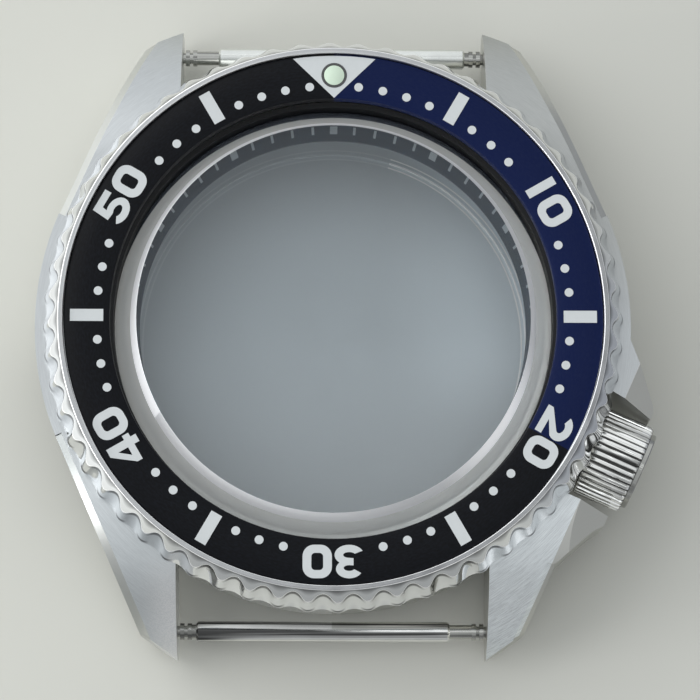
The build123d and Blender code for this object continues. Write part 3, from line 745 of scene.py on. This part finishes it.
class WATCH_OT_bezel(bpy.types.Operator):
    """Make the turning bezel with its scalloped grip"""

    bl_idname = "watch.bezel"
    bl_label = "Turning bezel"

    def execute(self, context):
        sizes = context.scene.watch_bezel
        self.tip, self.rim = sizes.skirt / 2 / MM, sizes.rim / MM
        self.rim_height = sizes.rim_height / MM
        self.depth, self.hollow = sizes.depth / MM, sizes.hollow / MM
        self.draft, self.shoulder = tan(sizes.draft), tan(sizes.shoulder)
        self.foot = 10.0
        self.brow = self.crossing(self.tip)
        bm = spun(self.profile(), sizes.scallops * 28)
        painted_highlight = bm.verts.layers.float.new("painted_highlight")
        grime = bm.verts.layers.float.new("grime")
        for vert in bm.verts:
            x, y, z = (c / MM for c in vert.co)
            radius = hypot(x, y)
            # Painted shade on the flat top, darker towards the lower right, and painted highlights
            # on the rim's edge and along the brow
            if z > BEZEL_TOP - 0.01:
                vert[grime] = 0.5 + 0.2 * (x - y) / radius
            elif z > self.rim_height - 0.01:
                vert[painted_highlight] = 1
            if radius < self.tip - 0.3:
                continue
            reach = self.reach(sizes, x, y)
            if z < self.foot - 0.001:
                wanted = radius - self.tip + reach
            else:
                cut = (self.tip - reach) / self.depth
                vert[painted_highlight] = 1 if self.brow - 0.02 < z < self.brow + 0.08 else 0
                vert[grime] = self.grime(z, cut, vert[grime])
                z, wanted = self.carved(z, reach, cut)
            vert.co = (x * wanted / radius * MM, y * wanted / radius * MM, z * MM)
        settle("bezel_grip", bm, "bezel", [grip_steel()], ("bezel_ring",), 40)
        return {"FINISHED"}

    def crossing(self, reach):
        """Height at which the shoulder's cone meets a grip that has this reach at its foot."""
        rise = self.rim + self.rim_height * self.shoulder - reach - self.foot * self.draft
        return rise / (self.shoulder - self.draft)

    def profile(self):
        """Lists the section of the bezel, with the grip still upright."""
        tip, foot, brow, rim = self.tip, self.foot, self.brow, self.rim_height
        rows = [foot + step for step in (0, 0.06, 0.12, 0.3, 0.42)]
        rows += [foot + (brow - foot) * i / 8 for i in range(3, 6)]
        rows += [brow + step for step in (-0.50, -0.35, -0.10, -0.05, -0.015)]
        rows += [brow + step for step in (0, 0.015, 0.07, 0.10)]
        rows += [(brow + rim) / 2, rim - 0.08, rim - 0.04, rim]
        top = BEZEL_TOP
        underside = [(17.45, 9.8), (tip - 0.25, 9.8), (tip - 0.13, 9.82), (tip - 0.04, 9.9)]
        lip = [
            (19.41, top - 0.04), (19.385, top - 0.015), (19.35, top), (19.32, top), (19.15, top),
            (19.12, top), (19.085, top - 0.015), (19.06, top - 0.04), (19.05, top - 0.07),
        ]
        inside = [
            (19.05, INSERT_FLOOR), (16.2, INSERT_FLOOR), (16.2, 11.53), (17.8, 11.53),
            (17.8, 10.2), (17.45, 10.2),
        ]
        return underside + [(tip, row) for row in rows] + lip + inside

    def reach(self, sizes, x, y):
        """Radius of the scalloped outline at its foot, in the direction of a point."""
        pitch = 2 * pi / sizes.scallops
        half_valley = pitch / 2 * sizes.valley
        half_tip = pitch / 2 - half_valley
        angle = Vector((x, y)).angle_signed(Vector((0, 1))) - sizes.turn
        off = abs((-angle / pitch) % 1 - 0.5) * pitch
        if off < half_valley:
            return self.tip - self.depth + self.depth * sizes.valley * (off / half_valley) ** 2
        beyond = (half_valley + half_tip - off) / half_tip
        return self.tip - self.depth * (1 - sizes.valley) * beyond ** 2

    def grime(self, z, cut, before):
        """Painted shade under the brow, at the tips' feet and along the rim."""
        if self.brow - 0.36 < z < self.brow - 0.09:
            return min(1, cut * 1.5)
        if self.foot + 0.1 < z < self.foot + 0.35:
            return max(0, 1 - cut * 1.6)
        if self.rim_height - 0.09 < z < self.rim_height - 0.03:
            return 0.8
        return before

    def carved(self, z, reach, cut):
        """Moves a point of the upright grip to its height and radius on the real one."""
        foot, brow, rim = self.foot, self.brow, self.rim_height
        edge = self.crossing(reach)
        if z <= brow:
            up = (z - foot) / (brow - foot)
            z = foot + (edge - foot) * up
            return z, reach - (z - foot) * self.draft - cut * self.hollow * 4 * up * (1 - up)
        z = edge + (rim - edge) * (z - brow) / (rim - brow)
        return z, self.rim + (rim - z) * self.shoulder


class WATCH_OT_insert(bpy.types.Operator):
    """Make the insert with its numerals, bars, dots, triangle and pip"""

    bl_idname = "watch.insert"
    bl_label = "Bezel insert"

    def execute(self, context):
        sizes = context.scene.watch_insert
        outer, inner = sizes.outer / 2 / MM, sizes.inner / 2 / MM
        top, bottom = sizes.top / MM, INSERT_FLOOR
        edge, corner = 0.12, 0.035
        profile = [
            (inner, bottom), (outer, bottom), (outer, top - edge), (outer - corner, top - corner),
            (outer - edge, top), (inner + edge, top), (inner + corner, top - corner),
            (inner, top - edge),
        ]
        bm = spun(profile, 360)
        coating = insert_coating(sizes.black, sizes.blue, radians(120))
        settle("insert_plate", bm, "bezel", [coating], ("bezel_insert",))
        self.marks(sizes, top)
        softened("lume_pip", "pip_lume", "bezel", [luminous(sizes.lume)], 50)
        softened("pip_cup", "pip_rim", "bezel",
                 [polished_steel("dark_cup_steel", (0.12, 0.12, 0.12), 0.3)], 50)
        return {"FINISHED"}

    def marks(self, sizes, top):
        """Makes all the printed marks as one piece."""
        marks = bmesh.new()
        height = sizes.print_height / MM
        middle = sizes.digits_at / MM
        apart = 1.11
        half = sizes.bar_length / MM / 2
        wide = sizes.bar_width / MM / 2
        dot = arc(0, 0, sizes.dot / MM / 2, sizes.dot / MM / 2, 0, 345, 23)
        bar = [(-wide, -half), (wide, -half), (wide, half), (-wide, half)]

        def add(loops, minute, shift):
            add_plate(marks, loops, top, height, minute * 6, shift)

        for minute in range(1, 60):
            if minute % 10 == 5:
                add([bar], minute, (0, middle))
            elif minute % 10 == 0:
                tens = str(minute)[0]
                closer = 0.36 if tens == "1" else 0
                add(DIGITS[tens], minute, (closer - apart, middle))
                add(DIGITS["0"], minute, (apart + closer / 4, middle))
            elif minute % 10 not in (1, 9) or minute in (1, 59):
                add([dot], minute, (0, sizes.dots_at / MM))
        point = [(0, 15.80)]
        base = arc(0, 0, 18.88, 18.88, 98.95, 81.05, 24)
        pip_hole = arc(0, 17.45, 0.91, 0.91, 0, 350, 35)
        add([point + base, pip_hole], 0, (0, 0))
        settle("insert_marks", marks, "bezel",
               [paint("mark_paint", sizes.marks, 0.4)])


class WATCH_OT_crystal(bpy.types.Operator):
    """Make the crystal with its ground bevel and polished band"""

    bl_idname = "watch.crystal"
    bl_label = "Crystal"

    def execute(self, context):
        sizes = context.scene.watch_crystal
        outer, band, flat = (d / 2 / MM for d in (sizes.outer, sizes.band, sizes.flat))
        foot, wall, bevel, top = (
            height / MM for height in (sizes.foot, sizes.wall, sizes.bevel, sizes.face)
        )
        profile = [(0, foot), (outer, foot), (outer, wall), (band, bevel), (flat, top), (0, top)]
        bm = spun(profile, 256, False)
        clear, polished, ground = range(3)
        for face in bm.faces:
            x, y, z = (c / MM for c in face.calc_center_median())
            if hypot(x, y) < flat - 0.05:
                face.material_index = clear
            else:
                face.material_index = polished if z > bevel + 0.05 else ground
        # The polished band and the ground bevel glow with painted light, emission brightest at four
        # and nine o'clock
        glasses = [
            crystal_glass("clear_crystal", (0.96, 0.98, 0.98), 0.01, 1.0),
            crystal_glass("polished_edge", (0.97, 0.98, 1.0), 0.05, 0.03, 0.42, 0.25),
            crystal_glass("ground_bevel", (0.95, 0.94, 0.90), 0.2, 0.42, 0.07),
        ]
        settle("crystal_disc", bm, "case", glasses, ("crystal",), 20)
        return {"FINISHED"}


class WATCH_OT_chapter(bpy.types.Operator):
    """Make the chapter ring with its minute marks"""

    bl_idname = "watch.chapter"
    bl_label = "Chapter ring"

    def execute(self, context):
        inner, outer, bottom = 13.85, 14.97, 6.6
        slope_foot, slope_top = Vector((13.87, 6.88)), Vector((14.5, 8.7))
        profile = [
            (inner, bottom), (outer, bottom), (outer, slope_top.y), tuple(slope_top),
            tuple(slope_foot), (inner, slope_foot.y - 0.03),
        ]
        bm = spun(profile, 256)
        settle("chapter_slope", bm, "case",
               [paint("chapter_black", tone(40, 60, 78), 0.35)], ("chapter_ring",))
        marks = bmesh.new()
        across = (slope_top - slope_foot).angle(Vector((1, 0)))
        lean = Matrix.Rotation(across - pi / 2, 4, "X")
        shift = Matrix.Translation((0, 14.32 * MM, 8.17 * MM))
        for minute in range(60):
            wide = 0.54 if minute % 5 == 0 else 0.19
            size = Matrix.Diagonal((wide, 0.03, 1.0, 1))
            turn = Matrix.Rotation(-radians(minute * 6), 4, "Z")
            made = bmesh.ops.create_cube(marks, size=MM)["verts"]
            bmesh.ops.transform(marks, matrix=turn @ shift @ lean @ size, verts=made)
        settle("chapter_marks", marks, "case",
               [paint("chapter_mark_paint", tone(190, 198, 204), 0.5)])
        return {"FINISHED"}


def crown_place():
    """Gives the matrix that lays a piece spun round Z along the crown's axis."""
    azimuth = radians(CROWN_AZIMUTH)
    out = Vector((sin(azimuth), cos(azimuth), 0))
    turn = out.to_track_quat("Z", "Y").to_matrix().to_4x4()
    return Matrix.Translation((0, 0, CROWN_Z * MM)) @ turn


class WATCH_OT_crown(bpy.types.Operator):
    """Make the fluted crown"""

    bl_idname = "watch.crown"
    bl_label = "Crown"

    def execute(self, context):
        sizes = context.scene.watch_crown
        r, a, b = sizes.outer / 2 / MM, sizes.start / MM, sizes.end / MM
        end = b + 0.35
        # Rounded corners of the grip, from its inner face to its outer one
        grip = [
            (r - 0.3, a), (r - 0.16, a + 0.05), (r - 0.05, a + 0.16), (r, a + 0.3),
            (r, (a + b) / 2),
            (r, b - 0.3), (r - 0.05, b - 0.16), (r - 0.16, b - 0.05), (r - 0.3, b),
        ]
        boss = [(2.87, b), (2.85, b + 0.02), (2.85, end - 0.07), (2.78, end), (1.4, end), (0, end)]
        hollow = [(0, a + 2.6), (1.3, a + 2.6), (1.3, a + 0.5), (2.2, a + 0.5)]
        bm = spun([(2.2, a)] + grip + boss + hollow, sizes.flutes * 12)
        pitch = 2 * pi / sizes.flutes
        for vert in bm.verts:
            x, y, z = vert.co
            radius = hypot(x, y)
            if radius < (r - 0.32) * MM or z > (b - 0.01) * MM:
                continue
            angle = Vector((x, y)).angle_signed(Vector((1, 0))) + pi
            off = abs((angle / pitch) % 1 - 0.5) * 2
            depth = max(0, 1 - (off / 0.55) ** 2) * sizes.flute_depth
            reach = r * MM - depth
            if radius > reach:
                vert.co = (x * reach / radius, y * reach / radius, z)
        bmesh.ops.transform(bm, matrix=crown_place(), verts=bm.verts)
        settle("crown_cap", bm, "crown", [fluted_steel(r - 0.19, r - 0.11, b)],
               ("crown",), 24)
        return {"FINISHED"}


class WATCH_OT_spring_bars(bpy.types.Operator):
    """Finish the two spring bars"""

    bl_idname = "watch.spring_bars"
    bl_label = "Spring bars"

    def execute(self, context):
        # Both bars are alike but take two finishes: bar 6's sleeve and the tips carry painted dark
        # reflections in stripes, bar 12's sleeve is satin
        satin = drawn_steel("satin_bar_steel", (0.88, 0.90, 0.87), 0.2)
        bright = drawn_steel("bright_bar_steel", (0.96, 0.96, 0.94), 0.04, 0.94)
        tips = drawn_steel("bar_tip_steel", (0.55, 0.55, 0.52), 0.1, 0.6)
        for bar, near, barrel in (("12", "right", satin), ("6", "left", bright)):
            for end in ("right", "left"):
                place = "near" if end == near else "far"
                node = f"spring_bar_{bar}_{end}_tip"
                softened(node, f"bar_{bar}_{end}_tip", f"bar_{bar}_{place}",
                         [tips], 40)
            softened(f"spring_bar_{bar}_barrel", f"bar_{bar}_sleeve", f"bar_{bar}_near",
                     [barrel], 40)
        return {"FINISHED"}


class WATCH_OT_case_back(bpy.types.Operator):
    """Finish the case back"""

    bl_idname = "watch.case_back"
    bl_label = "Case back"

    def execute(self, context):
        softened("case_back", "back_plate", "case_back",
                 [turned_steel("turned_back_steel", (0.62, 0.67, 0.71), 0.55)])
        return {"FINISHED"}


class WATCH_OT_studio(bpy.types.Operator):
    """Set the floor, the lamps, the world and the camera"""

    bl_idname = "watch.studio"
    bl_label = "Studio"

    def execute(self, context):
        studio = context.scene.watch_studio
        self.lay_floor(studio)
        self.light(context.scene, studio)
        self.aim(context.scene)
        context.scene.view_settings.view_transform = "Standard"
        return {"FINISHED"}

    def lay_floor(self, studio):
        """Lays the paper that the case stands on, a hair under its back, with painted light and
        shade beyond the case: white to the left, lighter behind, darker to the right and in front.
        """
        bm = bmesh.new()
        bmesh.ops.create_grid(bm, x_segments=1, y_segments=1, size=0.6)
        bmesh.ops.translate(bm, vec=(0, 0, -0.02 * MM), verts=bm.verts)
        mesh = bpy.data.meshes.new("studio_floor")
        bm.to_mesh(mesh)
        bm.free()
        finish = Finish("floor_paper", studio.floor, 0.7)
        x, y, _ = finish.place()
        across = (x * 0.8 - y * 0.3 + 20).ramp(-8, 60)
        clouds = finish.clouds(0.03, 2.0)
        shade = finish.blend(across, studio.floor, studio.floor_far)
        # Painted light and shade in zones beyond the case
        for side, painted_zone_tone in (
            ((-1 * x).ramp(25, 37), tone(246, 246, 243)),
            (y.ramp(25, 45), tone(236, 236, 232)),
            (x.ramp(27, 36), tone(160, 163, 170)),
            ((-1 * y).ramp(29, 37), tone(160, 161, 160)),
        ):
            shade = finish.blend(side, shade, painted_zone_tone)
        finish.feed(Base_Color=finish.blend(clouds * 0.1, shade, scaled(studio.floor, 0.9)))
        mesh.materials.append(finish.material)
        floor = bpy.data.objects.new("studio_floor", mesh)
        bpy.context.scene.collection.objects.link(floor)

    def light(self, scene, studio):
        """Sets a soft room, lighter behind and to the left, a window overhead and the lamps."""
        world = bpy.data.worlds.new("studio_world")
        world.use_nodes = True
        room = Nodes(world.node_tree)
        x, y, z = room.parts(room.node("ShaderNodeTexCoord"))
        left, front = -1 * x, -1 * y
        walls = 0.68 + y.ramp(0.1, 0.8) * 0.24 - front.ramp(0.3, 0.9) * 0.2
        sides = left.ramp(0.1, 0.8) * 0.25 - x.ramp(0.3, 0.9) * 0.05
        window = y.ramp(-0.02, 0.05) * (1 - y.ramp(0.13, 0.2)) * x.ramp(-0.12, 0.06)
        overhead = window * z.ramp(0.9, 0.95)
        cards = x.ramp(0.62, 0.8) * 0.3 + front.ramp(0.62, 0.8) * 0.22
        level = (walls + sides + overhead * 0.7 - cards * z.ramp(0.1, 0.3)) * studio.ambient
        background = world.node_tree.nodes["Background"]
        background.inputs[0].default_value = (0.95, 0.98, 1.0, 1)
        world.node_tree.links.new(level.socket, background.inputs[1])
        scene.world = world
        lamps = (
            ("key_lamp", (-0.26, 0.16, 0.24), 0.42, studio.key),
            ("front_lamp", (0.18, -0.30, 0.10), 0.16, studio.front),
            ("side_lamp", (-0.30, -0.08, 0.07), 0.12, studio.side),
        )
        for name, at, size, power in lamps:
            data = bpy.data.lights.new(name, "AREA")
            data.energy = power
            data.size = size
            lamp = bpy.data.objects.new(name, data)
            lamp.matrix_world = (
                Matrix.Translation(at) @ (-Vector(at)).to_track_quat("-Z", "Y").to_matrix().to_4x4()
            )
            scene.collection.objects.link(lamp)

    def aim(self, scene):
        """Sets the camera that was fitted to the photograph."""
        data = bpy.data.cameras.new("photo_camera")
        data.sensor_width = SENSOR
        data.lens = SENSOR * FOCAL_PIXELS / IMAGE_PIXELS
        data.clip_start = 0.01
        camera = bpy.data.objects.new("photo_camera", data)
        axes = Matrix(CAMERA_AXES).transposed().to_4x4()
        at = Matrix.Translation(Vector(CAMERA_AT) * MM)
        camera.matrix_world = at @ axes @ Matrix.Rotation(CAMERA_ROLL, 4, "Z")
        scene.collection.objects.link(camera)
        scene.camera = camera


PARTS = (
    WATCH_OT_case, WATCH_OT_bezel, WATCH_OT_insert, WATCH_OT_crystal, WATCH_OT_chapter,
    WATCH_OT_crown, WATCH_OT_spring_bars, WATCH_OT_case_back, WATCH_OT_studio,
)
GROUPS = {
    "watch_bezel": WatchBezelSizes,
    "watch_insert": WatchInsertSizes,
    "watch_crystal": WatchCrystalSizes,
    "watch_crown": WatchCrownSizes,
    "watch_studio": WatchStudio,
}


class WATCH_PT_panel(bpy.types.Panel):
    """Lists the steps in the 3D view's sidebar"""

    bl_idname = "WATCH_PT_panel"
    bl_label = "Watch case"
    bl_space_type = "VIEW_3D"
    bl_region_type = "UI"
    bl_category = "Watch case"

    def draw(self, context):
        for part in PARTS:
            self.layout.operator(part.bl_idname)


def register():
    """Adds the properties, the steps and the panel."""
    for group in GROUPS.values():
        bpy.utils.register_class(group)
    for part in (*PARTS, WATCH_PT_panel):
        bpy.utils.register_class(part)
    for name, group in GROUPS.items():
        setattr(bpy.types.Scene, name, PointerProperty(type=group))


def unregister():
    """Takes them away again."""
    for name in GROUPS:
        delattr(bpy.types.Scene, name)
    for part in (WATCH_PT_panel, *PARTS, *GROUPS.values()):
        bpy.utils.unregister_class(part)


def main():
    """Runs each step once."""
    register()
    for part in PARTS:
        family, action = part.bl_idname.split(".")
        getattr(getattr(bpy.ops, family), action)()


if __name__ == "__main__":
    main()
